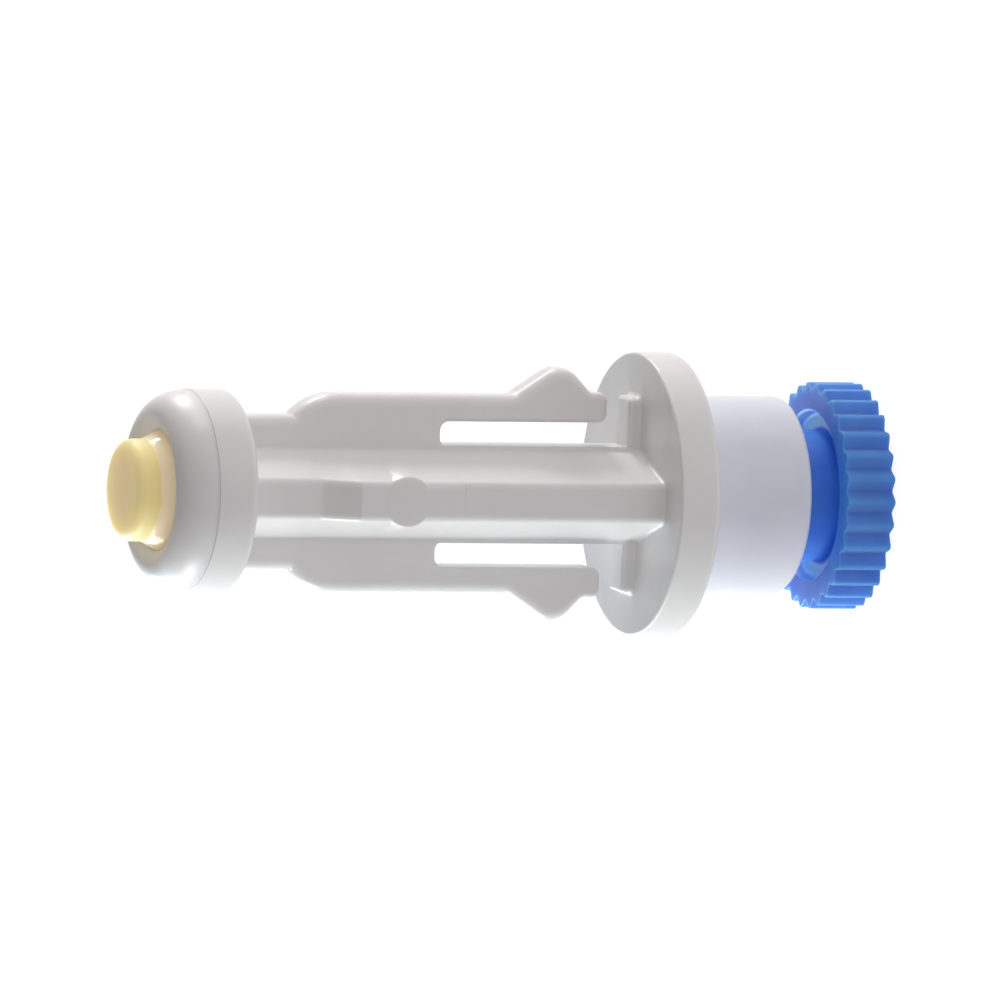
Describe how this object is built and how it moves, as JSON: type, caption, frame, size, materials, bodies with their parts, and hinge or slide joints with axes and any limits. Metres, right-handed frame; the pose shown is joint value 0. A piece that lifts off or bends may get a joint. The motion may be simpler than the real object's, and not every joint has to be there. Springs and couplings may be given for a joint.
{
  "type": "infusion connector",
  "caption": "Luer lock infusion connector with a membrane in its domed nose, sprung latch arms, a push flange, a swivelling lock collar and a knurled screw cap.",
  "frame": {"origin": "centre of the cap's flat foot, on the connector's long axis", "axes": "+Z along the long axis from the cap to the membrane, X along the latch arms, Y through the two ridges"},
  "size_m": [0.0158, 0.0158, 0.0437],
  "materials": {
    "blue_cap_plastic": "moulded translucent blue polyethylene",
    "collar_plastic": "moulded natural polypropylene, milky and slightly translucent",
    "housing_plastic": "moulded opaque white, fine satin",
    "retainer_plastic": "moulded opaque white, soft gloss",
    "membrane_rubber": "moulded translucent pale yellow elastomer"
  },
  "bodies": {
    "cap": {"protective_cap": "blue_cap_plastic"},
    "connector": {"housing": "housing_plastic", "membrane_retainer": "retainer_plastic", "membrane": "membrane_rubber"},
    "collar": {"luer_lock_collar": "collar_plastic"}
  },
  "joints": [
    {"name": "cap_off", "type": "slide", "parent": "cap", "child": "connector", "axis": [0, 0, 1], "range_m": [0, 0.0075]},
    {"name": "collar_spin", "type": "hinge", "parent": "connector", "child": "collar", "pos_m": [0, 0, 0.00764], "axis": [0, 0, 1], "range_deg": [0, 540]}
  ],
  "couplings": [
    {"joint": "collar_spin", "follows": "cap_off", "rad_per_m": 1256.6}
  ]
}
